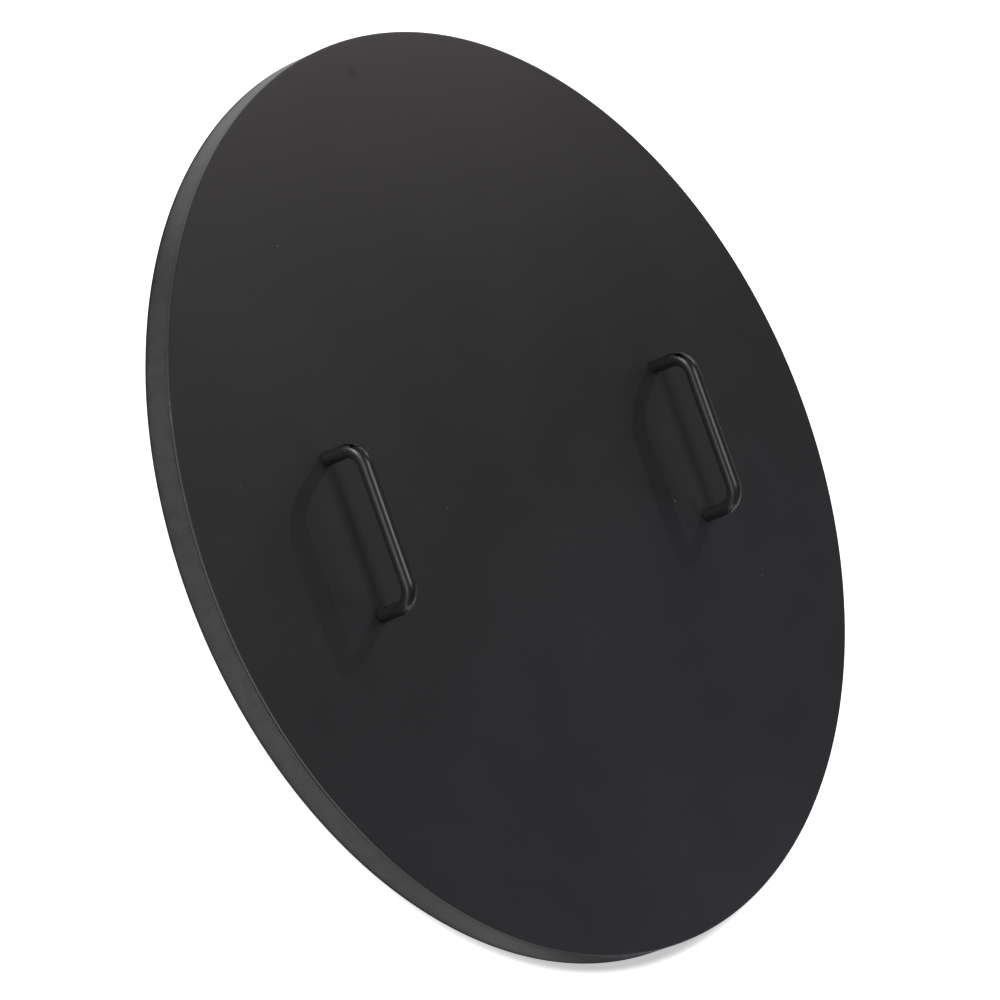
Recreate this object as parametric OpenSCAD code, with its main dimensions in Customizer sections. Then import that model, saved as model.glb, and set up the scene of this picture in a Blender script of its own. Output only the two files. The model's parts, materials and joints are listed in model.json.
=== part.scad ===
// Round steel lid with a rolled rim and two fixed bar handles.
// Origin: centre of the rim's lower edge. +Z up, out of the lid's top face.
// X runs across the two handles, Y runs along their grips. Millimetres.

/* [Lid] */
// Outside diameter of the plate and of the rim under it
lid_d = 762; // [500:1:1000]
// Thickness of the top plate
plate_t = 2; // [1.2:0.1:4]
// Depth of the rim strip under the plate
band_h = 24.5; // [20:0.5:60]
// Thickness of the rim strip
band_t = 2; // [1.5:0.1:5]
// Size of the eased top edge of the plate
edge_ease = 0.4; // [0.1:0.05:0.6]

/* [Rim welds] */
// Direction of the joint between the strip's two ends, from +X
butt_angle = 151; // [0:1:359]
// Gap between the strip's ends, filled by the weld
butt_gap = 2.5; // [1:0.5:6]
// Number of stitch welds inside the corner
stitches = 12; // [6:1:24]
// Length of each stitch weld
stitch_len = 25; // [10:1:40]
// Leg of each stitch weld's fillet
stitch_leg = 3; // [2:0.5:5]

/* [Handles] */
// Bar diameter
bar_d = 12; // [8:0.5:16]
// Distance between the centres of a handle's two feet
foot_c = 128; // [96:1:200]
// Height of the grip's centreline above the plate
grip_h = 36; // [34:1:60]
// Centreline radius of the bends
bend_r = 16; // [12:1:18]
// Distance of each handle from the lid's centre
handle_x = 209.5; // [120:0.5:230]
// Chamfer round each foot
foot_ease = 0.5; // [0.2:0.1:1]

/* [Fasteners] */
// Screw thread diameter
screw_d = 6; // [5:1:6]
// Length of a screw under its head
screw_l = 16; // [14:1:18]
// Pan head diameter
head_d = 12; // [10:0.5:14]
// Pan head height
head_h = 4.4; // [3:0.1:5]
// Flat washer outside diameter
washer_d = 18; // [12:1:24]
// Flat washer thickness
washer_t = 1.6; // [1:0.1:2]
// Lock washer outside diameter
lock_d = 11.6; // [10:0.1:12]
// Lock washer thickness when it is tight
lock_t = 1.6; // [1:0.1:2]

/* [Hidden] */

$fn = 96;
eps = 0.01;

lid_r = lid_d / 2;
band_in = lid_r - band_t;              // inside radius of the rim
top_z = band_h + plate_t;              // top face of the lid
plate_hole = screw_d + 0.6;            // clearance hole in the plate
tap_d = screw_d + 0.1;                 // threaded hole in a foot, drawn plain
tap_depth = 14;
gap_deg = butt_gap / lid_r * 180 / PI; // the butt joint's gap as an angle
bead_deg = 2 * gap_deg;                // the bead inside spreads past the gap
stitch_deg = stitch_len / band_in * 180 / PI;
straight = foot_c - 2 * bend_r;        // straight part of the grip
leg_l = grip_h - bend_r;               // straight part of a leg

coat = "#2b2b2e";
coat_handle = "#1f1f21";
zinc = "#b9bcc0";

// The middle of the foot on side sx (-1 left, 1 right) at end sy (-1 front, 1 back)
module at_foot(sx, sy) translate([sx * handle_x, sy * foot_c / 2, 0]) children();

// ---- the lid -------------------------------------------------------------

module top_plate() {
    color(coat)
    difference() {
        translate([0, 0, band_h])
            rotate_extrude($fn = 256)
                polygon([[0, 0], [lid_r, 0], [lid_r, plate_t - edge_ease],
                         [lid_r - edge_ease, plate_t], [0, plate_t]]);
        for (sx = [-1, 1], sy = [-1, 1])
            at_foot(sx, sy) translate([0, 0, band_h - 1])
                cylinder(d = plate_hole, h = plate_t + 2);
    }
}

// Strip rolled on edge, open at the butt joint
module rim_band() {
    color(coat)
    rotate([0, 0, butt_angle + gap_deg / 2])
        rotate_extrude(angle = 360 - gap_deg, $fn = 256)
            translate([band_in, 0]) square([band_t, band_h]);
}

// Fills the gap flush with the strip's outside and stands a little proud inside
module rim_butt_weld() {
    color(coat)
    union() {
        rotate([0, 0, butt_angle - gap_deg / 2])
            rotate_extrude(angle = gap_deg, $fn = 256)
                translate([band_in - 0.4, 0.3]) square([band_t + 0.4, band_h - 0.3]);
        rotate([0, 0, butt_angle - bead_deg / 2])
            rotate_extrude(angle = bead_deg, $fn = 256)
                polygon([[band_in, 0.8], [band_in, band_h - 0.2],
                         [band_in - 0.8, band_h - 1], [band_in - 0.8, 1.6]]);
    }
}

// Fillet beads in the corner under the plate
module rim_stitch_welds() {
    color(coat)
    for (i = [0 : stitches - 1])
        rotate([0, 0, butt_angle + (i + 0.5) * 360 / stitches - stitch_deg / 2])
            rotate_extrude(angle = stitch_deg, $fn = 256)
                polygon([[band_in, band_h], [band_in, band_h - stitch_leg],
                         [band_in - stitch_leg * 0.62, band_h - stitch_leg * 0.62],
                         [band_in - stitch_leg, band_h]]);
}

// ---- the handles ---------------------------------------------------------

// One bar with two bends, standing on z = 0, with a blind threaded hole up each foot
module bar_handle() {
    difference() {
        union() {
            for (s = [-1, 1]) {
                translate([0, s * foot_c / 2, 0])
                    cylinder(d1 = bar_d - 2 * foot_ease, d2 = bar_d, h = foot_ease);
                translate([0, s * foot_c / 2, foot_ease])
                    cylinder(d = bar_d, h = leg_l - foot_ease);
                translate([0, s * (foot_c / 2 - bend_r), leg_l])
                    rotate([90, 0, 90])
                        rotate([0, 0, s > 0 ? 0 : 90])
                            rotate_extrude(angle = 90)
                                translate([bend_r, 0]) circle(d = bar_d);
            }
            translate([0, -straight / 2, grip_h])
                rotate([-90, 0, 0]) cylinder(d = bar_d, h = straight);
        }
        for (s = [-1, 1])
            translate([0, s * foot_c / 2, -1]) {
                cylinder(d = tap_d, h = tap_depth + 1);
                translate([0, 0, tap_depth + 1]) cylinder(d1 = tap_d, d2 = 0, h = 1.7);
            }
    }
}

module left_handle() color(coat_handle) translate([-handle_x, 0, top_z]) bar_handle();
module right_handle() color(coat_handle) translate([handle_x, 0, top_z]) bar_handle();

// ---- the fasteners, stacked downward from the plate's underside ----------

module flat_washer() {
    translate([0, 0, band_h - washer_t])
        difference() {
            cylinder(d = washer_d, h = washer_t);
            translate([0, 0, -1]) cylinder(d = screw_d + 0.4, h = washer_t + 2);
        }
}

// A tight spring washer is flat, with a slanted cut through one side
module lock_washer() {
    translate([0, 0, band_h - washer_t - lock_t])
        difference() {
            cylinder(d = lock_d, h = lock_t);
            translate([0, 0, -1]) cylinder(d = screw_d + 0.3, h = lock_t + 2);
            translate([lock_d / 2 - 1, 0, lock_t / 2]) rotate([25, 0, 0])
                cube([lock_d / 2, 0.7, 3 * lock_t], center = true);
        }
}

// Pan head with a cross recess, a plain shank for the thread
module pan_screw() {
    translate([0, 0, band_h - washer_t - lock_t])
        difference() {
            union() {
                translate([0, 0, -eps]) cylinder(d = screw_d, h = screw_l - 0.8 + eps);
                translate([0, 0, screw_l - 0.8])
                    cylinder(d1 = screw_d, d2 = screw_d - 1.6, h = 0.8);
                rotate_extrude()
                    polygon([[0, 0], [head_d / 2, 0], [head_d / 2, -head_h * 0.35],
                             [head_d / 2 - 0.5, -head_h * 0.62], [head_d / 2 - 1.6, -head_h * 0.86],
                             [head_d / 2 - 3.2, -head_h * 0.97], [0, -head_h]]);
            }
            for (a = [0, 90])
                rotate([0, 0, a]) translate([0, 0, -head_h - 1 + 3.4 / 2])
                    cube([6, 1.4, 3.4], center = true);
        }
}

module left_front_screw() color(zinc) at_foot(-1, -1) pan_screw();
module left_back_screw() color(zinc) at_foot(-1, 1) pan_screw();
module right_front_screw() color(zinc) at_foot(1, -1) pan_screw();
module right_back_screw() color(zinc) at_foot(1, 1) pan_screw();

module left_front_lock_washer() color(zinc) at_foot(-1, -1) lock_washer();
module left_back_lock_washer() color(zinc) at_foot(-1, 1) rotate([0, 0, 130]) lock_washer();
module right_front_lock_washer() color(zinc) at_foot(1, -1) rotate([0, 0, 245]) lock_washer();
module right_back_lock_washer() color(zinc) at_foot(1, 1) rotate([0, 0, 60]) lock_washer();

module left_front_flat_washer() color(zinc) at_foot(-1, -1) flat_washer();
module left_back_flat_washer() color(zinc) at_foot(-1, 1) flat_washer();
module right_front_flat_washer() color(zinc) at_foot(1, -1) flat_washer();
module right_back_flat_washer() color(zinc) at_foot(1, 1) flat_washer();

top_plate();
rim_band();
rim_butt_weld();
rim_stitch_welds();
left_handle();
right_handle();
left_front_screw();
left_back_screw();
right_front_screw();
right_back_screw();
left_front_lock_washer();
left_back_lock_washer();
right_front_lock_washer();
right_back_lock_washer();
left_front_flat_washer();
left_back_flat_washer();
right_front_flat_washer();
right_back_flat_washer();
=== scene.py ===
import bpy
import json
import math
import random
import numpy as np
from mathutils import Matrix, Vector, geometry, noise

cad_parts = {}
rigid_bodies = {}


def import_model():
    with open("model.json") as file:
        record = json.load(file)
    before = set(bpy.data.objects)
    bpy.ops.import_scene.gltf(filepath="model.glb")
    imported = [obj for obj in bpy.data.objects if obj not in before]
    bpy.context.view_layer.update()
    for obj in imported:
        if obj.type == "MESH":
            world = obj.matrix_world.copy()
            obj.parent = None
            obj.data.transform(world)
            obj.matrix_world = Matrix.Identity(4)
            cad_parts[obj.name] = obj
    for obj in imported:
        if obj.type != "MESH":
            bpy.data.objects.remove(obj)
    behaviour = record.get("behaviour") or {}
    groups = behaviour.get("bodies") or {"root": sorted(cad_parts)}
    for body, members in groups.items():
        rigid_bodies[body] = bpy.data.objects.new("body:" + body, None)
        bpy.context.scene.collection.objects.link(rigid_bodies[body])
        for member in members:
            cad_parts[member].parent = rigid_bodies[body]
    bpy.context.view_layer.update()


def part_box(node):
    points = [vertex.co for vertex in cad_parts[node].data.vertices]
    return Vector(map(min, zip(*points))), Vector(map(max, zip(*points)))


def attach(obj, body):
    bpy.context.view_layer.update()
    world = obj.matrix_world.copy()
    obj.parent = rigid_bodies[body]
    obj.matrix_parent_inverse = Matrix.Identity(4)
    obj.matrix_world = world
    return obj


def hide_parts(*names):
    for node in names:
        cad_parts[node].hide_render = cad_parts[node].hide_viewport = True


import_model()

TAU = 2 * math.pi
MM = 0.001


# ---------------------------------------------------------------- sizes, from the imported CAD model
plate_lo, plate_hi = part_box("top_plate")
band_lo, band_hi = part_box("rim_band")
lh_lo, lh_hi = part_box("left_handle")
rh_lo, rh_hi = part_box("right_handle")
R = min(-plate_lo.x, plate_hi.x, -plate_lo.y, plate_hi.y,
        -band_lo.x, band_hi.x, -band_lo.y, band_hi.y)   # outside radius of the lid
TOP = plate_hi.z                       # top face
SEAM = plate_lo.z                      # underside of the plate, top of the strip
BAND_T = 2.0 * MM                      # strip thickness
BAR_R = (lh_hi.x - lh_lo.x) / 2
FOOT_Y = lh_hi.y - BAR_R               # a foot's distance from the X axis
GRIP_Z = lh_hi.z - BAR_R               # centreline of the grip
BEND_R = 16.0 * MM
HANDLE_X = (rh_hi.x + rh_lo.x) / 2
BUTT = math.radians(151)               # where the strip's two ends meet
FEET = [(sx * HANDLE_X, sy * FOOT_Y) for sx in (-1, 1) for sy in (-1, 1)]
FOOT_NAMES = {(-1, -1): "left_front", (-1, 1): "left_back", (1, -1): "right_front", (1, 1): "right_back"}


def smooth(a, b, x):
    """0 below a, 1 above b, smooth between."""
    if a == b:
        return float(x > a)
    t = min(1.0, max(0.0, (x - a) / (b - a)))
    return t * t * (3 - 2 * t)


def turn(phi, centre):
    """Signed angle from centre to phi, in degrees, from -180 to 180."""
    return (math.degrees(phi - centre) + 180) % 360 - 180


# ---------------------------------------------------------------- mesh helpers
def make(name, verts, faces, body="root", sharp=32):
    """A mesh object with smooth faces, and its edges sharp where they turn by more than `sharp` degrees."""
    me = bpy.data.meshes.new(name)
    me.from_pydata([tuple(v) for v in verts], [], faces)
    me.validate()
    me.update()
    ob = bpy.data.objects.new(name, me)
    bpy.context.scene.collection.objects.link(ob)
    me.polygons.foreach_set("use_smooth", [True] * len(me.polygons))
    me.set_sharp_from_angle(angle=math.radians(sharp))
    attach(ob, body)
    return ob


def tube(rings, closed_ends=True, loop=False):
    """Verts and faces of rings of equal length, joined in order. A ring of one point is a pole."""
    verts, starts = [], []
    for r in rings:
        starts.append(len(verts))
        verts += r
    faces = []
    pairs = list(zip(range(len(rings)), range(1, len(rings))))
    if loop:
        pairs.append((len(rings) - 1, 0))
    for a, b in pairs:
        na, nb = len(rings[a]), len(rings[b])
        sa, sb = starts[a], starts[b]
        n = max(na, nb)
        for i in range(n):
            j = (i + 1) % n
            if na == 1:
                faces.append((sa, sb + j, sb + i))
            elif nb == 1:
                faces.append((sa + i, sa + j, sb))
            else:
                faces.append((sa + i, sa + j, sb + j, sb + i))
    if closed_ends and not loop:
        if len(rings[0]) > 1:
            faces.append(tuple(reversed(range(starts[0], starts[0] + len(rings[0])))))
        if len(rings[-1]) > 1:
            faces.append(tuple(range(starts[-1], starts[-1] + len(rings[-1]))))
    return verts, faces


def outward(ob):
    """Every island's faces turned outward."""
    import bmesh
    bm = bmesh.new()
    bm.from_mesh(ob.data)
    bmesh.ops.recalc_face_normals(bm, faces=bm.faces)
    bm.to_mesh(ob.data)
    bm.free()
    return ob


# ---------------------------------------------------------------- the top plate
def fillet_at(phi):
    """Radius of the plate's eased top edge: small, and larger where the corner was ground after welding."""
    d = turn(phi, math.radians(158.5))
    wide = 0.62 * math.exp(-(d / 1.9) ** 2)
    wide += 0.10 * noise.noise(Vector((8 * math.cos(phi), 8 * math.sin(phi), 3.1)))
    return (0.52 + wide) * MM


def open_at(phi):
    """How open the seam under the plate's edge is: 1 where the strip's bevel shows, 0 where it was filled and ground."""
    d = turn(phi, math.radians(160))
    f = smooth(-2.0, 4.0, d) if d < 90 else 1.0
    f *= 1 - 0.86 * smooth(46, 60, d)
    f *= 0.60 + 0.40 * smooth(14, 34, d)
    if d < -75:
        f = 1 - 0.86 * smooth(-75, -100, d)
    return f * (1 + 0.12 * noise.noise(Vector((14 * math.cos(phi), 14 * math.sin(phi), 9.4))))


def groove_at(phi):
    """Rounding of the plate's lower edge, at the seam."""
    return (0.06 + 0.12 * min(1.0, open_at(phi))) * MM


def dish(x, y):
    """The slight waves that rolled sheet keeps, none at the rim and under the handles' feet."""
    r = math.hypot(x, y)
    m = 1 - smooth(0.325, 0.372, r)
    for fx, fy in FEET:
        m *= smooth(0.012, 0.055, math.hypot(x - fx, y - fy))
    w = noise.noise(Vector((x * 2.4, y * 2.4, 1.7))) * 0.26 + noise.noise(Vector((x * 7.0, y * 7.0, 5.2))) * 0.02
    return m * w * MM


def build_plate():
    n_out, hole_r = 540, 3.3 * MM
    pts, outer = [], []
    for i in range(n_out):
        phi = TAU * i / n_out
        outer.append(len(pts))
        rr = R - 1.0 * MM
        pts.append((rr * math.cos(phi), rr * math.sin(phi)))
    for rr, n in ((R - 2.6 * MM, 540), (R - 6 * MM, 270), (R - 12 * MM, 180)):
        pts += [(rr * math.cos(TAU * (i + .5) / n), rr * math.sin(TAU * (i + .5) / n)) for i in range(n)]
    r = R - 22 * MM
    k = 0
    while r > 0.006:
        n = max(6, round(TAU * r / 0.0125))
        for i in range(n):
            a = TAU * (i + 0.5 * (k % 2)) / n
            x, y = r * math.cos(a), r * math.sin(a)
            if min(math.hypot(x - fx, y - fy) for fx, fy in FEET) > 0.0165:
                pts.append((x, y))
        r -= 0.0108
        k += 1
    pts.append((0.0, 0.0))
    holes = []
    for fx, fy in FEET:
        ring = []
        for rr, n in ((hole_r, 40), (4.6 * MM, 32), (6.8 * MM, 28), (10.5 * MM, 28), (14 * MM, 28)):
            for i in range(n):
                a = TAU * (i + (0.5 if n == 28 else 0)) / n
                if rr == hole_r:
                    ring.append(len(pts))
                pts.append((fx + rr * math.cos(a), fy + rr * math.sin(a)))
        holes.append(ring)
    edges = [(outer[i], outer[(i + 1) % n_out]) for i in range(n_out)]
    for ring in holes:
        edges += [(ring[i], ring[(i + 1) % len(ring)]) for i in range(len(ring))]
    got = geometry.delaunay_2d_cdt([Vector(p) for p in pts], edges, [], 1, 1e-7)
    xy, tris, origin = got[0], got[2], got[3]
    back = {}
    for new, olds in enumerate(origin):
        for o in olds:
            back[o] = new
    keep = []
    for t in tris:
        cx = sum(xy[i][0] for i in t) / 3
        cy = sum(xy[i][1] for i in t) / 3
        if all(math.hypot(cx - fx, cy - fy) > hole_r * 0.97 for fx, fy in FEET):
            a, b, c = (xy[i] for i in t)
            if (b[0] - a[0]) * (c[1] - a[1]) - (b[1] - a[1]) * (c[0] - a[0]) < 0:
                t = (t[0], t[2], t[1])
            keep.append(tuple(t))
    n = len(xy)
    verts = [Vector((p[0], p[1], TOP + dish(p[0], p[1]))) for p in xy]
    verts += [Vector((p[0], p[1], SEAM + dish(p[0], p[1]))) for p in xy]
    faces = keep + [(c + n, b + n, a + n) for a, b, c in keep]
    ring_top = [back[o] for o in outer]
    ring_bot = [back[o] + n for o in outer]
    wall = []
    for i in range(n_out):
        phi = TAU * i / n_out
        c, s = math.cos(phi), math.sin(phi)
        f, g = fillet_at(phi), groove_at(phi)
        verts[ring_top[i]] = Vector(((R - f) * c, (R - f) * s, TOP))
        verts[ring_bot[i]] = Vector(((R - g) * c, (R - g) * s, SEAM))
        prof = [(R - f + f * math.sin(a), TOP - f + f * math.cos(a)) for a in [math.pi / 2 * k / 6 for k in range(1, 7)]]
        prof += [(R, (TOP - f) * 0.5 + (SEAM + g) * 0.5)]
        prof += [(R - g + g * math.cos(a), SEAM + g - g * math.sin(a)) for a in [math.pi / 2 * k / 4 for k in range(0, 4)]]
        wall.append([Vector((pr * c, pr * s, pz)) for pr, pz in prof])
    m, start = len(wall[0]), len(verts)
    for w in wall:
        verts += w
    for i in range(n_out):
        j = (i + 1) % n_out
        a, b = start + i * m, start + j * m
        faces.append((ring_top[i], a, b, ring_top[j]))
        for k in range(m - 1):
            faces.append((a + k, a + k + 1, b + k + 1, b + k))
        faces.append((a + m - 1, ring_bot[i], ring_bot[j], b + m - 1))
    for ring in holes:
        top = [back[o] for o in ring]
        for i in range(len(top)):
            j = (i + 1) % len(top)
            faces.append((top[i], top[j], top[j] + n, top[i] + n))
    return outward(make("lid_plate", verts, faces, sharp=30))


# ---------------------------------------------------------------- the rolled strip
def strip_shift(phi):
    """How far the strip lies inside its true circle: rolling leaves small waves, and flats at its two ends."""
    w = 0.5 + 0.5 * noise.noise(Vector((5 * math.cos(phi), 5 * math.sin(phi), 21.0)))
    w2 = 0.5 + 0.5 * noise.noise(Vector((19 * math.cos(phi), 19 * math.sin(phi), 2.0)))
    flat = math.exp(-(turn(phi, BUTT) / 3.5) ** 2)
    return (0.02 + 0.10 * w + 0.04 * w2 + 0.16 * flat) * MM


def strip_profile(phi, n_side=6):
    """The strip's outline at phi as (radius, z), anticlockwise in the r-z plane, its corners rounded."""
    d = strip_shift(phi)
    ro, ri = R - d, R - d - BAND_T
    g, e = groove_at(phi), 0.28 * MM
    f = open_at(phi)
    gz, gd = (0.05 + 0.85 * f) * MM, (0.06 + 0.84 * f) * MM   # the bevel along the strip's upper outside edge
    z0, z1 = 0.0, SEAM - 0.01 * MM
    out = []

    def corner(cr, cz, rad, a0):
        for k in range(4):
            a = a0 + math.pi / 2 * k / 3
            out.append((cr + rad * math.cos(a), cz + rad * math.sin(a)))

    corner(ro - e, z0 + e, e, -math.pi / 2)          # lower outside
    for k in range(1, n_side):
        z = z0 + e + (z1 - gz - z0 - e) * k / n_side
        wave = 0.05 * MM * noise.noise(Vector((9 * math.cos(phi), 9 * math.sin(phi), z * 60)))
        out.append((ro - abs(wave), z))
    for u, v in ((0.0, -0.12), (0.03, 0.0), (0.14, 0.10), (0.40, 0.36), (0.70, 0.68), (1.0, 1.0)):
        out.append((ro - gd * u, z1 - gz + gz * v))   # the bevel at the seam
    corner(ri + 0.1 * MM, z1 - 0.1 * MM, 0.1 * MM, math.pi / 2)
    for k in range(1, n_side):
        out.append((ri, z1 - 0.1 * MM + (z0 + e - z1 + 0.1 * MM) * k / n_side))
    corner(ri + e, z0 + e, e, math.pi)
    return out


def build_strip():
    half = 1.25 * MM / R
    n = 720
    rings = []
    for i in range(n + 1):
        t = i / n
        phi = BUTT + half + (TAU - 2 * half) * t
        rings.append([Vector((r * math.cos(phi), r * math.sin(phi), z)) for r, z in strip_profile(phi)])
    verts, faces = tube(rings)
    return outward(make("rim_strip", verts, faces, sharp=34))


# ---------------------------------------------------------------- the welds
def build_butt_weld():
    """The joint's weld: ground nearly flush outside, a rippled bead inside."""
    half = 1.25 * MM / R
    rings = []
    zs = [0.15 * MM + (SEAM - 0.20 * MM) * k / 90 for k in range(91)]
    for k, z in enumerate(zs):
        ripple = 0.5 + 0.5 * math.cos(TAU * z / (1.15 * MM) + 0.6 * noise.noise(Vector((0, 0, z * 300))))
        end = min(1.0, (k + 1) / 6, (len(zs) - k) / 6)
        bead = (0.38 + 0.20 * ripple) * MM * end
        wide = (2.35 + 0.25 * ripple) * MM / R * (0.75 + 0.25 * end)
        ring = []
        d = strip_shift(BUTT)
        outer_r = R - d + 0.02 * MM + 0.03 * MM * noise.noise(Vector((1.3, 7.7, z * 220)))
        outer_r = min(outer_r, R - 0.02 * MM)
        inner_r = R - d - BAND_T
        for a in np.linspace(-half, half, 7):
            ring.append((outer_r - 0.015 * MM * (a / half) ** 2, BUTT + a))
        for a in np.linspace(wide, -wide, 15):
            u = a / wide
            lift = bead * max(0.0, 1 - u * u) ** 0.7
            ring.append((inner_r - lift, BUTT + a))
        rings.append([Vector((r * math.cos(p), r * math.sin(p), z)) for r, p in ring])
    verts, faces = tube(rings)
    return outward(make("butt_weld_bead", verts, faces, sharp=50))


def build_stitches():
    """Twelve short fillet beads in the corner under the plate, each with ripples, a blunt start and a crater."""
    rnd = random.Random(11)
    verts, faces = [], []
    for i in range(12):
        mid = BUTT + math.radians(30 * (i + 0.5)) + math.radians(rnd.uniform(-0.25, 0.25))
        length = (23.0 + rnd.uniform(-1.5, 1.2)) * MM
        n = 64
        rings = []
        for k in range(n + 1):
            t = k / n
            phi = mid + (t - 0.5) * length / (R - BAND_T)
            s = t * length
            ripple = 0.5 + 0.5 * math.cos(TAU * (s / (1.25 * MM) + 0.12 * noise.noise(Vector((s * 500, i, 0)))))
            end = min(1.0, math.sqrt(max(0.0, 1 - (1 - min(1, t * n / 5)) ** 2)) + 0.02,
                      math.sqrt(max(0.0, 1 - (1 - min(1, (1 - t) * n / 7)) ** 2)) + 0.02)
            crater = 1 - 0.25 * math.exp(-((t - 0.93) / 0.03) ** 2)
            leg = (2.45 + 0.22 * ripple + 0.12 * noise.noise(Vector((s * 160, i * 3.1, 4)))) * MM * (0.35 + 0.65 * end)
            ri = R - strip_shift(phi) - BAND_T
            z1 = SEAM - 0.01 * MM
            ring = [(ri, z1)]
            m = 8
            for q in range(m + 1):
                u = q / m
                # from the strip's wall round to the plate's underside, a little full in the middle
                a = math.pi / 2 * u
                flat_r, flat_z = leg * u, leg * (1 - u)
                full = 0.16 * leg * math.sin(math.pi * u) * (0.6 + 0.4 * ripple) * crater * end
                rr = ri - (flat_r + full * math.sin(math.pi / 4))
                zz = z1 - (flat_z + full * math.cos(math.pi / 4))
                ring.append((rr, zz))
            rings.append([Vector((r * math.cos(phi), r * math.sin(phi), z)) for r, z in ring])
        v, f = tube(rings)
        base = len(verts)
        verts += v
        faces += [tuple(x + base for x in q) for q in f]
    return outward(make("stitch_weld_beads", verts, faces, sharp=55))


# ---------------------------------------------------------------- the handles
def build_handle(name, cx, seed):
    """One bent bar with round, slightly pulled bends, eased feet and a blind screw hole up each foot."""
    n = 72
    ease = 0.5 * MM
    hole = 3.05 * MM
    path = []                                       # centre, direction, radius, flattening
    z0 = TOP

    def ring(c, d, rad, squash=0.0):
        """A circle of points round c, square to d, in the handle's own frame. Its first axis is X."""
        d = d.normalized()
        side = Vector((1, 0, 0))
        up = d.cross(side).normalized()
        out = []
        for i in range(n):
            a = TAU * i / n
            out.append(c + side * (rad * (1 + squash) * math.cos(a)) + up * (rad * (1 - squash) * math.sin(a)))
        return out

    Y, Z = Vector((0, 1, 0)), Vector((0, 0, 1))
    rings = []

    def foot(sy, entering):
        """Rings up one foot's hole and out over its eased edge, or the same backwards."""
        c = Vector((0, sy * FOOT_Y, 0))
        seq = [("pole", 15.6 * MM, 0.0), ("r", 14.0 * MM, hole * 0.999), ("r", 10 * MM, hole), ("r", 5 * MM, hole),
               ("r", 0.35 * MM, hole), ("r", 0.0, hole + 0.35 * MM), ("r", 0.0, hole + 1.2 * MM)]
        seq += [("r", ease * (1 - math.cos(a)), BAR_R - ease + ease * math.sin(a)) for a in [math.pi / 2 * k / 5 for k in range(6)]]
        seq += [("r", 1.6 * MM, BAR_R), ("r", 5 * MM, BAR_R), ("r", 12 * MM, BAR_R)]
        got = []
        for kind, h, rad in seq:
            p = c + Z * (z0 + h)
            got.append([p] if kind == "pole" else ring(p, Z if entering else -Z, rad))
        return got if entering else list(reversed(got))

    rings += foot(1, True)
    leg_top = GRIP_Z - BEND_R
    rings.append(ring(Vector((0, FOOT_Y, leg_top - 1.0 * MM)), Z, BAR_R))
    steps = 36
    for k in range(steps + 1):                       # up and over, towards -Y
        a = math.pi / 2 * k / steps
        c = Vector((0, FOOT_Y - BEND_R + BEND_R * math.cos(a), leg_top + BEND_R * math.sin(a)))
        d = Vector((0, -math.sin(a), math.cos(a)))
        sq = 0.012 * math.sin(2 * a) ** 2
        rings.append(ring(c, d, BAR_R * (1 - 0.25 * sq), sq * 0.2))
    for k in range(1, 24):
        y = (FOOT_Y - BEND_R) * (1 - 2 * k / 24)
        rings.append(ring(Vector((0, y, GRIP_Z)), -Y, BAR_R * (1 - 0.0012 * (0.5 + 0.5 * noise.noise(Vector((y * 40, seed, 0)))))))
    for k in range(steps + 1):
        a = math.pi / 2 * (1 - k / steps)
        c = Vector((0, -FOOT_Y + BEND_R - BEND_R * math.cos(a), leg_top + BEND_R * math.sin(a)))
        d = Vector((0, -math.sin(a), -math.cos(a)))
        sq = 0.012 * math.sin(2 * a) ** 2
        rings.append(ring(c, d, BAR_R * (1 - 0.25 * sq), sq * 0.2))
    rings.append(ring(Vector((0, -FOOT_Y, leg_top - 1.0 * MM)), -Z, BAR_R))
    rings += foot(-1, False)
    verts, faces = tube(rings, closed_ends=False)
    verts = [v + Vector((cx, 0, 0)) for v in verts]
    return outward(make(name, verts, faces, sharp=40))


# ---------------------------------------------------------------- the fasteners
Z_HEAD = SEAM - 3.2 * MM               # the screw head's bearing face


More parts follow.
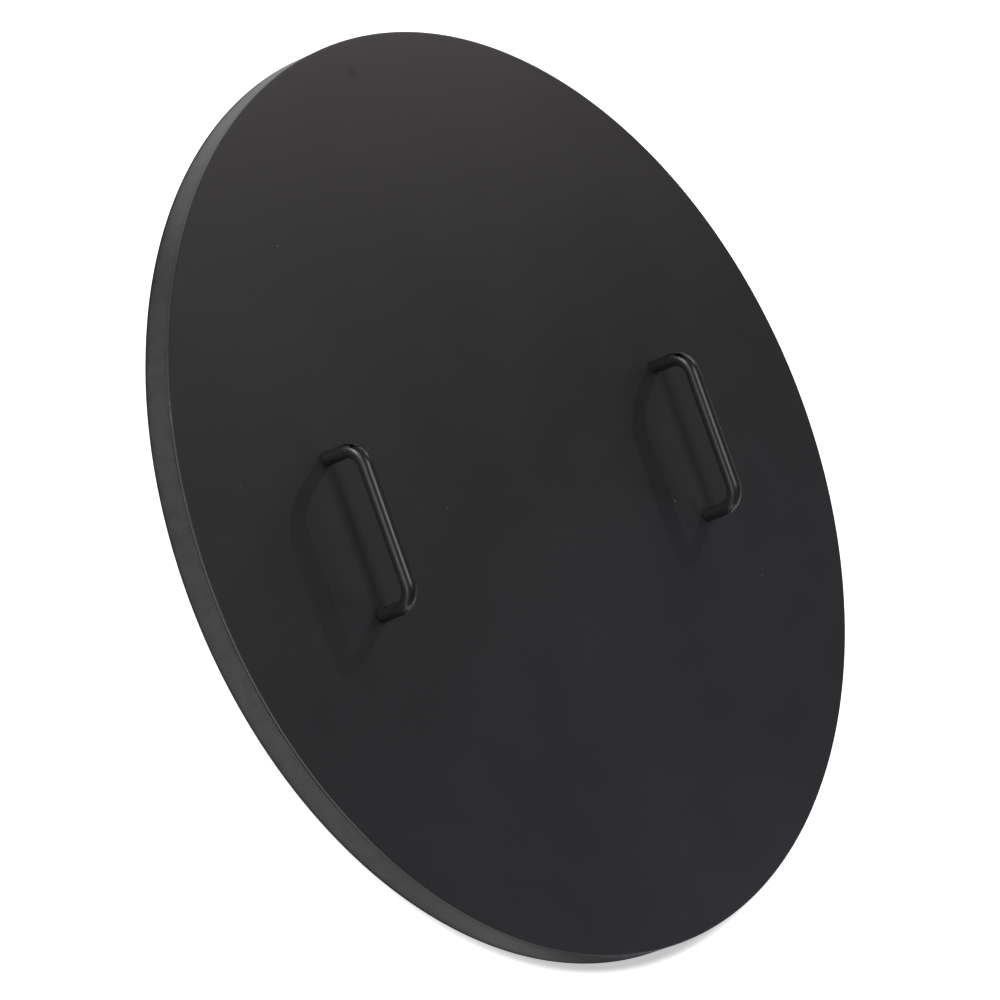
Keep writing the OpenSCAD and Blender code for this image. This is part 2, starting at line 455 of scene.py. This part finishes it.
def build_screw(name, fx, fy, turn_deg):
    """A pan head screw, head down: domed head with a cross recess, rolled thread, chamfered tip."""
    n = 112
    head_r, head_h = 6.0 * MM, 4.4 * MM
    prof = []                                         # (radius, depth below the bearing face), from the head's centre out
    for k in range(0, 34):                            # the dome
        r = 4.9 * MM * k / 33
        prof.append((r, head_h - 0.62 * MM * (r / (4.9 * MM)) ** 2))
    c0 = head_h - 0.62 * MM
    for k in range(1, 15):                            # its shoulder, a quarter ellipse down to the side
        a = math.pi / 2 * k / 14
        prof.append((4.9 * MM + (head_r - 4.9 * MM) * math.sin(a), 1.3 * MM + (c0 - 1.3 * MM) * math.cos(a)))
    prof += [(head_r, 0.8 * MM), (head_r, 0.16 * MM), (head_r - 0.05 * MM, 0.05 * MM), (head_r - 0.16 * MM, 0.0),
             (4.6 * MM, 0.0), (3.35 * MM, 0.0)]
    rings = [[Vector((0, 0, -prof[0][1] + recess(0, 0)))]]
    for r, h in prof[1:]:
        ring = []
        for i in range(n):
            a = TAU * i / n
            x, y = r * math.cos(a), r * math.sin(a)
            up = recess(x, y) if h > 2.6 * MM else 0.0
            ring.append(Vector((x, y, -h + up)))
        rings.append(ring)
    pitch, major, minor = 1.0 * MM, 3.0 * MM, 2.42 * MM
    length = 16 * MM
    steps = 150
    for k in range(steps + 1):
        z = 0.25 * MM + (length - 0.25 * MM) * k / steps
        ring = []
        for i in range(n):
            a = TAU * i / n
            ph = (z / pitch - i / n) % 1.0
            # crest a quarter of the pitch wide, root an eighth, straight flanks
            tri = 1 - abs(2 * ph - 1)
            prof_r = min(1.0, max(0.0, (tri - 0.10) / 0.72))
            r = minor + (major - minor) * prof_r
            fade = smooth(0.25 * MM, 1.3 * MM, z)      # runs out under the head
            r = r * fade + major * 0.985 * (1 - fade)
            tip = length - z
            r = min(r, 2.1 * MM + tip * 1.15)
            ring.append(Vector((r * math.cos(a), r * math.sin(a), z)))
        rings.append(ring)
    rings.append([Vector((v.x * 0.55, v.y * 0.55, length)) for v in rings[-1]])
    rings.append([Vector((0, 0, length))])
    verts, faces = tube(rings, closed_ends=False)
    m = Matrix.Translation((fx, fy, Z_HEAD)) @ Matrix.Rotation(math.radians(turn_deg), 4, "Z")
    return outward(make(name, [m @ v for v in verts], faces, sharp=38))


def recess(x, y):
    """Depth of the cross recess at a point of the head, with sloping walls and a rounded floor."""
    best = 0.0
    for u, v in ((abs(x), abs(y)), (abs(y), abs(x))):
        d = min((0.95 * MM - u) * 3.6, (3.25 * MM - v) * 1.25, 2.7 * MM)
        best = max(best, d)
    core = (1.75 * MM - math.hypot(x, y)) * 2.2
    best = max(best, min(core, 2.7 * MM))
    if best <= 0:
        return 0.0
    soft = 0.18 * MM                                   # rounds the recess's upper edge
    return best - soft + soft * math.exp(-best / soft)


def build_lock_washer(name, fx, fy, turn_deg):
    """A spring washer pulled flat: square wire, its two slanted ends a hair apart and a touch out of line."""
    ri, ro = 3.15 * MM, 5.8 * MM
    z0, z1 = SEAM - 3.2 * MM, SEAM - 1.6 * MM
    gap = 0.72 * MM / (0.5 * (ri + ro))
    n = 132
    rings = []
    e = 0.18 * MM
    section = []
    for cr, cz, a0 in ((ro - e, z0 + e, -math.pi / 2), (ro - e, z1 - e, 0), (ri + e, z1 - e, math.pi / 2), (ri + e, z0 + e, math.pi)):
        for k in range(4):
            a = a0 + math.pi / 2 * k / 3
            section.append((cr + e * math.cos(a), cz + e * math.sin(a)))
    zc = 0.5 * (z0 + z1)
    for i in range(n + 1):
        t = i / n
        ring = []
        for r, z in section:
            slant = math.tan(math.radians(25)) * (z - zc) / (0.5 * (ri + ro))
            a = gap / 2 + (TAU - gap) * t + slant
            ring.append(Vector((r * math.cos(a), r * math.sin(a), z)))
        rings.append(ring)
    verts, faces = tube(rings)
    m = Matrix.Translation((fx, fy, 0)) @ Matrix.Rotation(math.radians(turn_deg), 4, "Z")
    return outward(make(name, [m @ v for v in verts], faces, sharp=40))


def build_flat_washer(name, fx, fy, seed):
    """A punched washer: a rolled edge on the face that shows, a crisper one against the plate."""
    ri, ro = 3.2 * MM, 9.0 * MM
    z0, z1 = SEAM - 1.6 * MM, SEAM
    n = 112
    prof = []
    for k in range(6):                                 # outer lower edge, rolled
        a = -math.pi / 2 + math.pi / 2 * k / 5
        prof.append((ro - 0.45 * MM + 0.45 * MM * math.cos(a), z0 + 0.32 * MM + 0.32 * MM * math.sin(a)))
    prof += [(ro, z1 - 0.12 * MM), (ro - 0.04 * MM, z1 - 0.03 * MM), (ro - 0.12 * MM, z1)]
    prof += [(6.0 * MM, z1), (ri + 0.12 * MM, z1), (ri, z1 - 0.12 * MM)]
    for k in range(6):
        a = math.pi + math.pi / 2 * k / 5
        prof.append((ri + 0.3 * MM + 0.3 * MM * math.cos(a), z0 + 0.22 * MM + 0.22 * MM * math.sin(a)))
    prof += [(5.0 * MM, z0), (7.0 * MM, z0)]
    m = len(prof)
    verts, faces = [], []
    for i in range(n):
        a = TAU * i / n
        wob = 0.03 * MM * noise.noise(Vector((2 * math.cos(a), 2 * math.sin(a), seed)))
        for r, z in prof:
            rr = r + (wob - 0.03 * MM if r > 8 * MM else 0)
            verts.append(Vector((fx + rr * math.cos(a), fy + rr * math.sin(a), z)))
    for i in range(n):
        j = (i + 1) % n
        for k in range(m):
            q = (k + 1) % m
            faces.append((i * m + k, i * m + q, j * m + q, j * m + k))
    return outward(make(name, verts, faces, sharp=40))


# ---------------------------------------------------------------- materials
class Mat:
    """A short way to write a node tree."""

    def __init__(self, name):
        self.m = bpy.data.materials.new(name)
        self.m.use_nodes = True
        self.t = self.m.node_tree
        self.t.nodes.clear()
        self.out = self.t.nodes.new("ShaderNodeOutputMaterial")
        self.b = self.t.nodes.new("ShaderNodeBsdfPrincipled")
        self.t.links.new(self.b.outputs[0], self.out.inputs[0])
        self.co = self.t.nodes.new("ShaderNodeTexCoord").outputs["Object"]

    def link(self, a, b):
        self.t.links.new(a, b)

    def put(self, sock, val):
        if isinstance(val, bpy.types.NodeSocket):
            self.link(val, sock)
        else:
            sock.default_value = val

    def noise(self, scale, detail=2.0, rough=0.5, distort=0.0, co=None, stretch=None):
        n = self.t.nodes.new("ShaderNodeTexNoise")
        n.inputs["Scale"].default_value = scale
        n.inputs["Detail"].default_value = detail
        n.inputs["Roughness"].default_value = rough
        n.inputs["Distortion"].default_value = distort
        src = co or self.co
        if stretch:
            mp = self.t.nodes.new("ShaderNodeMapping")
            mp.inputs["Scale"].default_value = stretch
            self.link(src, mp.inputs["Vector"])
            src = mp.outputs[0]
        self.link(src, n.inputs["Vector"])
        return n.outputs["Fac"]

    def voronoi(self, scale, randomness=1.0):
        n = self.t.nodes.new("ShaderNodeTexVoronoi")
        n.inputs["Scale"].default_value = scale
        n.inputs["Randomness"].default_value = randomness
        self.link(self.co, n.inputs["Vector"])
        return n.outputs["Distance"], n.outputs["Color"]

    def ramp(self, fac, lo, hi, a=0.0, b=1.0):
        n = self.t.nodes.new("ShaderNodeMapRange")
        n.interpolation_type = "SMOOTHSTEP"
        self.put(n.inputs["Value"], fac)
        n.inputs["From Min"].default_value = lo
        n.inputs["From Max"].default_value = hi
        n.inputs["To Min"].default_value = a
        n.inputs["To Max"].default_value = b
        return n.outputs["Result"]

    def math(self, op, a, b=0.0, c=0.0):
        n = self.t.nodes.new("ShaderNodeMath")
        n.operation = op
        for i, v in enumerate((a, b, c)):
            self.put(n.inputs[i], v)
        return n.outputs[0]

    def mix(self, fac, a, b):
        n = self.t.nodes.new("ShaderNodeMix")
        n.data_type = "RGBA"
        self.put(n.inputs[0], fac)
        self.put(n.inputs[6], a if isinstance(a, bpy.types.NodeSocket) else (*a, 1.0))
        self.put(n.inputs[7], b if isinstance(b, bpy.types.NodeSocket) else (*b, 1.0))
        return n.outputs[2]

    def xyz(self, co=None):
        n = self.t.nodes.new("ShaderNodeSeparateXYZ")
        self.link(co or self.co, n.inputs[0])
        return n.outputs

    def bump(self, height, distance, strength=1.0, normal=None):
        n = self.t.nodes.new("ShaderNodeBump")
        n.inputs["Strength"].default_value = strength
        n.inputs["Distance"].default_value = distance
        self.link(height, n.inputs["Height"])
        if normal is not None:
            self.link(normal, n.inputs["Normal"])
        return n.outputs[0]

    def rgb(self, sock):
        n = self.t.nodes.new("ShaderNodeSeparateColor")
        self.link(sock, n.inputs[0])
        return n.outputs


def powder_coat(name, base, rough, peel, specks=True, ground=False, mottle=0.0, spots=()):
    """Satin black powder coat: orange peel at two scales, a faint change of tone and gloss, specks of dust."""
    m = Mat(name)
    tone = m.noise(3.4, 3, 0.55)
    cloud = m.noise(22.0, 4, 0.6)
    fine = m.noise(620.0, 2, 0.55)
    coarse = m.noise(210.0, 2, 0.5)
    dark = tuple(c * 0.88 for c in base)
    light = tuple(c * 1.12 for c in base)
    col = m.mix(m.ramp(tone, 0.32, 0.68), dark, light)
    col = m.mix(m.ramp(cloud, 0.40, 0.75, 0.0, 0.25), col, tuple(c * 1.3 for c in base))
    r = m.math("ADD", m.ramp(cloud, 0.3, 0.7, rough - 0.016, rough + 0.016), m.ramp(tone, 0.3, 0.7, -0.010, 0.010))
    height = m.math("ADD", m.math("MULTIPLY", fine, 0.45), coarse)
    x, y, z = m.xyz()[:3]
    if mottle:
        # the mill surface of the strip shows faintly through the coat
        blotch = m.noise(95.0, 4, 0.62, 0.4)
        streak = m.noise(70.0, 3, 0.6, stretch=(1.0, 1.0, 0.28))
        both = m.math("ADD", m.math("MULTIPLY", blotch, 0.6), m.math("MULTIPLY", streak, 0.4))
        col = m.mix(m.ramp(both, 0.40, 0.62, 0.0, mottle), col, tuple(c * 2.3 for c in base))
        col = m.mix(m.ramp(both, 0.48, 0.34, 0.0, mottle), col, tuple(c * 0.35 for c in base))
        height = m.math("ADD", height, m.math("MULTIPLY", blotch, 5.0 * mottle))
    if specks:
        # a few pale specks of dust and a few raised nibs in the coat
        d, c = m.voronoi(62.0)
        pick = m.rgb(c)[0]
        size = m.rgb(c)[1]
        rad = m.math("MULTIPLY_ADD", size, 0.022, 0.010)
        dot = m.math("MULTIPLY", m.math("LESS_THAN", d, rad), m.math("GREATER_THAN", pick, 0.985))
        col = m.mix(dot, col, (0.10, 0.10, 0.10))
        r = m.math("ADD", r, m.math("MULTIPLY", dot, 0.25))
        d2, c2 = m.voronoi(88.0)
        nib = m.math("MULTIPLY", m.ramp(d2, 0.0, 0.075, 1.0, 0.0), m.math("GREATER_THAN", m.rgb(c2)[2], 0.975))
        height = m.math("ADD", height, m.math("MULTIPLY", nib, 1.6))
    for sx, sy, rad, amount, tint in spots:
        # a scuff or a touch of dust: an uneven soft spot on the face
        off = m.math("SQRT", m.math("ADD", m.math("POWER", m.math("SUBTRACT", x, sx), 2.0),
                                    m.math("POWER", m.math("SUBTRACT", y, sy), 2.0)))
        rag = m.math("ADD", off, m.math("MULTIPLY", m.math("SUBTRACT", m.noise(700.0, 2, 0.6), 0.5), rad * 0.9))
        col = m.mix(m.ramp(rag, rad * 0.25, rad, amount, 0.0), col, tint)
    if ground:
        # the corner is ground smooth, so the coat lies thin and bright there; rougher marks show beside the joint
        a = m.math("ADD", m.math("ARCTAN2", m.math("MULTIPLY", y, -1.0), m.math("MULTIPLY", x, -1.0)), math.pi)
        near = m.math("ABSOLUTE", m.math("SUBTRACT", a, BUTT))
        joint = m.ramp(near, 0.004, 0.030, 1.0, 0.0)
        patch_at = m.ramp(m.math("ABSOLUTE", m.math("SUBTRACT", a, math.radians(158.5))), 0.012, 0.055, 1.0, 0.0)
        corner = m.math("MULTIPLY", m.ramp(m.math("ABSOLUTE", m.math("SUBTRACT", z, SEAM)), 0.0012, 0.0040, 1.0, 0.0), patch_at)
        where = m.math("MAXIMUM", m.math("MULTIPLY", joint, 0.8), corner)
        marks = m.noise(900.0, 3, 0.6, stretch=(0.12, 0.12, 1.0))
        height = m.math("ADD", height, m.math("MULTIPLY", m.math("MULTIPLY", marks, where), 1.2))
        patch = m.math("MULTIPLY", where, m.ramp(m.noise(260.0, 2, 0.55), 0.44, 0.66))
        col = m.mix(m.math("MULTIPLY", patch, 0.45), col, tuple(c * 2.4 for c in base))
        r = m.math("ADD", r, m.math("MULTIPLY", patch, 0.05))
    # painted highlight: the plate's outer edge is made lighter, strongly within about 30° of 187° and faintly
    # elsewhere, where light would catch it
    edge = m.ramp(z, SEAM + 0.0001, SEAM + 0.0006, 0.0, 1.0)
    if ground:
        # painted highlight, strongest on the side round 187°
        turned = m.ramp(m.math("ABSOLUTE", m.math("SUBTRACT", a, math.radians(187))), 0.46, 0.60, 0.85, 0.15)
        col = m.mix(m.math("MULTIPLY", edge, turned), col, tuple(c * 3.5 for c in base))
    m.put(m.b.inputs["Base Color"], col)
    m.put(m.b.inputs["Roughness"], r)
    m.put(m.b.inputs["Normal"], m.bump(height, peel, 1.0))
    m.b.inputs["Metallic"].default_value = 0.0
    m.b.inputs["IOR"].default_value = 1.5
    m.b.inputs["Specular IOR Level"].default_value = 0.44
    return m.m


def zinc(name, base, rough):
    """Bright zinc plate: cool grey with a faint warm bloom, small scratches and stains."""
    m = Mat(name)
    bloom = m.noise(160.0, 3, 0.6)
    stain = m.noise(420.0, 4, 0.65)
    scratch = m.noise(1500.0, 2, 0.5, stretch=(1.0, 0.08, 0.3))
    col = m.mix(m.ramp(bloom, 0.35, 0.7), base, (base[0] * 1.04, base[1] * 0.99, base[2] * 0.86))
    col = m.mix(m.ramp(stain, 0.52, 0.74, 0.0, 0.55), col, tuple(c * 0.62 for c in base))
    r = m.math("ADD", m.ramp(stain, 0.4, 0.75, rough, rough + 0.16), m.ramp(scratch, 0.45, 0.75, 0.0, 0.07))
    m.put(m.b.inputs["Base Color"], col)
    m.put(m.b.inputs["Roughness"], r)
    m.put(m.b.inputs["Normal"], m.bump(m.math("ADD", stain, scratch), 0.000012, 1.0))
    m.b.inputs["Metallic"].default_value = 1.0
    return m.m


COAT = (0.0165, 0.0165, 0.0172)
PALE, DARK = (0.16, 0.16, 0.165), (0.003, 0.003, 0.003)
SPOTS = ((-0.1794, 0.2333, 0.0013, 0.9, PALE), (0.1766, -0.0456, 0.0012, 0.8, PALE), (0.2510, -0.1243, 0.0012, 0.7, PALE),
         (-0.0941, 0.0013, 0.0010, 0.7, PALE), (-0.3126, 0.0612, 0.0010, 0.5, PALE),
         (-0.0257, 0.3540, 0.0070, 1.0, DARK))
BARE = (0.19, 0.19, 0.19)
CORNER = ((-0.3553, 0.1372, 0.0030, 0.8, BARE), (-0.3592, 0.1267, 0.0062, 0.9, BARE))   # where the corner was ground and the coat is thin
mat_face = powder_coat("lid_coat_face", COAT, 0.47, 0.000022, spots=SPOTS)
mat_edge = powder_coat("lid_coat_edge", COAT, 0.47, 0.000022, specks=False, ground=True, mottle=0.30, spots=CORNER)
mat_rim = powder_coat("lid_coat_rim", COAT, 0.47, 0.000022, ground=True, mottle=0.42)
mat_weld = powder_coat("lid_coat_weld", COAT, 0.50, 0.000030, specks=False)
mat_handle = powder_coat("handle_coat", (0.0135, 0.0135, 0.0137), 0.375, 0.000010, specks=False)
mat_zinc = zinc("zinc_plate", (0.60, 0.61, 0.63), 0.24)


def dress(ob, material, slot, *nodes):
    ob.data.materials.clear()
    ob.data.materials.append(material)
    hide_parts(*nodes)
    return ob


plate = dress(build_plate(), mat_face, "lid_coat", "top_plate")
plate.data.materials.append(mat_edge)
for p in plate.data.polygons:
    c = p.center
    if math.hypot(c.x, c.y) > R - 0.0004 and c.z < TOP - 0.0002:
        p.material_index = 1
dress(build_strip(), mat_rim, "lid_coat", "rim_band")
dress(build_butt_weld(), mat_rim, "lid_coat", "rim_butt_weld")
dress(build_stitches(), mat_weld, "lid_coat", "rim_stitch_welds")
dress(build_handle("handle_left", -HANDLE_X, 1.0), mat_handle, "handle_coat", "left_handle")
dress(build_handle("handle_right", HANDLE_X, 2.0), mat_handle, "handle_coat", "right_handle")
spin = {"left_front": (12, 0), "left_back": (71, 130), "right_front": (38, 245), "right_back": (-20, 60)}
for (sx, sy), label in FOOT_NAMES.items():
    fx, fy = sx * HANDLE_X, sy * FOOT_Y
    dress(build_screw("screw_" + label, fx, fy, spin[label][0]), mat_zinc, "zinc_steel", label + "_screw")
    dress(build_lock_washer("lock_washer_" + label, fx, fy, spin[label][1]), mat_zinc, "zinc_steel", label + "_lock_washer")
    dress(build_flat_washer("flat_washer_" + label, fx, fy, sx * 3.0 + sy), mat_zinc, "zinc_steel", label + "_flat_washer")


# ---------------------------------------------------------------- floor, light, camera
def stage_floor():
    """A white floor. The eye sees it white, with the lid's shadow on it. The lid is lit instead by the floor's painted
    light and shade: a brightness that changes along Y, and a painted contact shadow in a thin ring round the lid.
    """
    me = bpy.data.meshes.new("floor")
    s, z = 14.0, -0.0002
    me.from_pydata([(-s, -s, z), (s, -s, z), (s, s, z), (-s, s, z)], [], [(0, 1, 2, 3)])
    ob = bpy.data.objects.new("floor", me)
    bpy.context.scene.collection.objects.link(ob)
    m = bpy.data.materials.new("floor_white")
    m.use_nodes = True
    t = m.node_tree
    t.nodes.clear()
    out = t.nodes.new("ShaderNodeOutputMaterial")
    add = t.nodes.new("ShaderNodeAddShader")
    mix = t.nodes.new("ShaderNodeMixShader")
    path = t.nodes.new("ShaderNodeLightPath")
    dif = t.nodes.new("ShaderNodeBsdfDiffuse")
    dif.inputs["Color"].default_value = (0.80, 0.80, 0.80, 1)
    emi = t.nodes.new("ShaderNodeEmission")
    emi.inputs["Strength"].default_value = FLOOR_GLOW
    # painted light: the floor's brightness as the lid sees it, set along Y by the curve below
    painted_floor_light = t.nodes.new("ShaderNodeEmission")
    geo = t.nodes.new("ShaderNodeNewGeometry")
    sep = t.nodes.new("ShaderNodeSeparateXYZ")
    ramp = t.nodes.new("ShaderNodeFloatCurve")
    t.links.new(geo.outputs["Position"], sep.inputs[0])
    along = t.nodes.new("ShaderNodeMath")
    along.operation = "ADD"
    along.inputs[1].default_value = 0.5
    t.links.new(sep.outputs["Y"], along.inputs[0])
    t.links.new(along.outputs[0], ramp.inputs["Value"])
    curve = ramp.mapping.curves[0]
    curve.points[0].location = (0.0, FLOOR_PAINTED_LIGHT[0][1] / 2)
    curve.points[1].location = (1.0, FLOOR_PAINTED_LIGHT[-1][1] / 2)
    for y, v in FLOOR_PAINTED_LIGHT[1:-1]:
        curve.points.new(y + 0.5, v / 2)
    for p in curve.points:
        p.handle_type = "VECTOR"
    ramp.mapping.update()
    twice = t.nodes.new("ShaderNodeMath")
    twice.operation = "MULTIPLY"
    twice.inputs[1].default_value = 2.0
    t.links.new(ramp.outputs[0], twice.inputs[0])
    far = t.nodes.new("ShaderNodeVectorMath")
    far.operation = "LENGTH"
    t.links.new(geo.outputs["Position"], far.inputs[0])
    # painted contact shadow: the floor's light for the lid fades to nothing in a thin ring round the lid's edge
    near = t.nodes.new("ShaderNodeMapRange")
    near.interpolation_type = "SMOOTHSTEP"
    near.inputs["From Min"].default_value = R - 0.0005
    near.inputs["From Max"].default_value = R + 0.0032
    near.inputs["To Min"].default_value = 0.0
    near.inputs["To Max"].default_value = 1.0
    t.links.new(far.outputs["Value"], near.inputs["Value"])
    both = t.nodes.new("ShaderNodeMath")
    both.operation = "MULTIPLY"
    t.links.new(twice.outputs[0], both.inputs[0])
    t.links.new(near.outputs[0], both.inputs[1])
    t.links.new(both.outputs[0], painted_floor_light.inputs["Strength"])
    t.links.new(dif.outputs[0], add.inputs[0])
    t.links.new(emi.outputs[0], add.inputs[1])
    t.links.new(path.outputs["Is Camera Ray"], mix.inputs[0])
    t.links.new(painted_floor_light.outputs[0], mix.inputs[1])
    t.links.new(add.outputs[0], mix.inputs[2])
    t.links.new(mix.outputs[0], out.inputs[0])
    me.materials.append(m)
    return ob


def world(strength, color=(1, 1, 1)):
    w = bpy.data.worlds.new("studio")
    bpy.context.scene.world = w
    w.use_nodes = True
    t = w.node_tree
    t.nodes.clear()
    out = t.nodes.new("ShaderNodeOutputWorld")
    seen = t.nodes.new("ShaderNodeBackground")
    seen.name = "seen"
    seen.inputs["Color"].default_value = (1, 1, 1, 1)
    lit = t.nodes.new("ShaderNodeBackground")
    lit.name = "lit"
    lit.inputs["Color"].default_value = (*color, 1)
    lit.inputs["Strength"].default_value = strength
    path = t.nodes.new("ShaderNodeLightPath")
    mix = t.nodes.new("ShaderNodeMixShader")
    t.links.new(path.outputs["Is Camera Ray"], mix.inputs[0])
    t.links.new(lit.outputs[0], mix.inputs[1])
    t.links.new(seen.outputs[0], mix.inputs[2])
    t.links.new(mix.outputs[0], out.inputs[0])
    return w


def area(name, pos, target, size, power, color=(1, 1, 1), size_y=None):
    d = bpy.data.lights.new(name, "AREA")
    d.shape = "RECTANGLE" if size_y else "DISK"
    d.size = size
    if size_y:
        d.size_y = size_y
    d.energy = power
    d.color = color
    o = bpy.data.objects.new(name, d)
    bpy.context.scene.collection.objects.link(o)
    o.location = pos
    o.rotation_euler = (Vector(target) - Vector(pos)).to_track_quat("-Z", "Y").to_euler()
    return o


FLOOR_GLOW = 0.54      # what the eye sees where no light reaches the floor
# what the lid sees: the floor's painted light and shade at places along Y, with brighter pools and darker dips, less
# where the lid's own shade falls
FLOOR_PAINTED_LIGHT = ((-0.50, 1.0), (-0.42, 0.75), (-0.392, 0.14), (-0.377, 0.17), (-0.370, 0.38), (-0.358, 0.72), (-0.342, 0.84),
              (-0.30, 0.83), (-0.25, 0.97), (-0.20, 1.12), (-0.13, 1.19), (-0.06, 1.11), (0.0, 1.05), (0.12, 1.02),
              (0.167, 1.02), (0.205, 0.82), (0.262, 0.72), (0.292, 1.05), (0.32, 1.24), (0.353, 1.34), (0.42, 1.2), (0.50, 1.0))
FLOOR_SUN = 0.52 * math.pi / 0.80
floor = stage_floor()
world(0.0)
C = Vector((0, 0, TOP))
LID, FACE, GRIPS, FLOOR_ONLY = [], [], [], []


def lamp(group, name, pos, target, size, rgb, size_y=None):
    """An area light given by its power in each colour, in watts."""
    top = max(rgb)
    o = area(name, pos, target, size, top, tuple(c / top for c in rgb), size_y)
    group.append(o)
    return o


K = 1.12
lamp(LID, "key", (1.765, 1.22, 1.28), C, 0.06, (5.45 * K, 5.15 * K, 5.25 * K))
lamp(LID, "overhead", (-0.395, 0.16, 2.565), (-0.1, 0, 0), 0.85, (23.2 * K, 22.8 * K, 23.4 * K))
lamp(LID, "far_right", (2.6, 0.3, 2.2), (0, 0, 0), 1.6, (2.38 * K, 2.20 * K, 2.20 * K), 1.6)
lamp(FACE, "back_right", (0.8, 0.9, 0.35), (0.1, 0.2, 0.0), 0.8, (4.65 * K, 4.20 * K, 4.22 * K), 0.4)
lamp(FACE, "front_right", (1.0, -0.9, 0.35), (0, 0, 0), 0.8, (4.25 * K, 4.28 * K, 5.50 * K), 0.4)
# broad, softer versions for the bars, and the one behind to the left that shines on their upper bends
lamp(GRIPS, "back_right_soft", (1.5, 1.65, 0.62), (0.1, 0.2, 0.0), 1.9, (9.4 * K, 9.0 * K, 9.1 * K), 1.0)
lamp(GRIPS, "front_right_soft", (2.2, -1.95, 0.80), (0, 0, 0), 3.2, (5.0 * K, 5.0 * K, 5.3 * K), 1.5)
lamp(GRIPS, "left_back", (-1.9, 1.6, 0.14), (0, 0, 0.05), 0.55, (34.0 * K, 33.8 * K, 34.0 * K), 0.45)
lamp(LID, "left_strip", (-2.4, 0.0, 0.55), (0, 0, 0), 1.8, (14.2 * K, 13.8 * K, 14.6 * K), 0.5)
# two lights on the floor alone, from behind the lid to either side: only where both are hidden is it in shadow
for name, az, el in (("floor_a", 136.0, 57.0), ("floor_b", 90.0, 71.0)):
    a, e = math.radians(az), math.radians(el)
    d = Vector((math.cos(a) * math.cos(e), math.sin(a) * math.cos(e), math.sin(e)))
    sun = bpy.data.lights.new(name, "SUN")
    sun.energy = FLOOR_SUN / math.sin(e)
    sun.angle = math.radians(20)
    o = bpy.data.objects.new(name, sun)
    bpy.context.scene.collection.objects.link(o)
    o.location = d * 2
    o.rotation_euler = d.to_track_quat("Z", "Y").to_euler()
    FLOOR_ONLY.append(o)


def link_lights():
    """Each group of lights falls on its own pieces, and the whole lid casts its shadow in all of them."""
    groups = {k: bpy.data.collections.new("lit_" + k) for k in ("lid", "face", "grips", "floor")}
    for o in bpy.context.scene.objects:
        if o.type != "MESH":
            continue
        if o is floor:
            groups["floor"].objects.link(o)
            continue
        groups["lid"].objects.link(o)
        groups["grips" if o.name.startswith("handle_") else "face"].objects.link(o)
    for key, lights in (("lid", LID), ("face", FACE), ("grips", GRIPS), ("floor", FLOOR_ONLY)):
        for o in lights:
            o.light_linking.receiver_collection = groups[key]
            o.light_linking.blocker_collection = groups["lid"]


link_lights()


def camera():
    d = bpy.data.cameras.new("camera")
    d.sensor_width = 36.0
    d.lens = 259.353
    d.clip_end = 60
    o = bpy.data.objects.new("camera", d)
    bpy.context.scene.collection.objects.link(o)
    right = Vector((0.6186116515734791, -0.334414623943271, 0.7109757266112628))
    up = Vector((0.18320718872361103, 0.9413492603060429, 0.2833667166786831))
    back = right.cross(up).normalized()
    up = back.cross(right).normalized()
    right.normalize()
    loc = Vector((-4.368108442718104, -0.2601604116828594, 3.680541803624841))
    m = Matrix((right, up, back)).transposed().to_4x4()
    m.translation = loc
    o.matrix_world = m
    bpy.context.scene.camera = o
    return o


camera()
bpy.context.scene.view_settings.view_transform = "Standard"
bpy.context.scene.view_settings.look = "None"
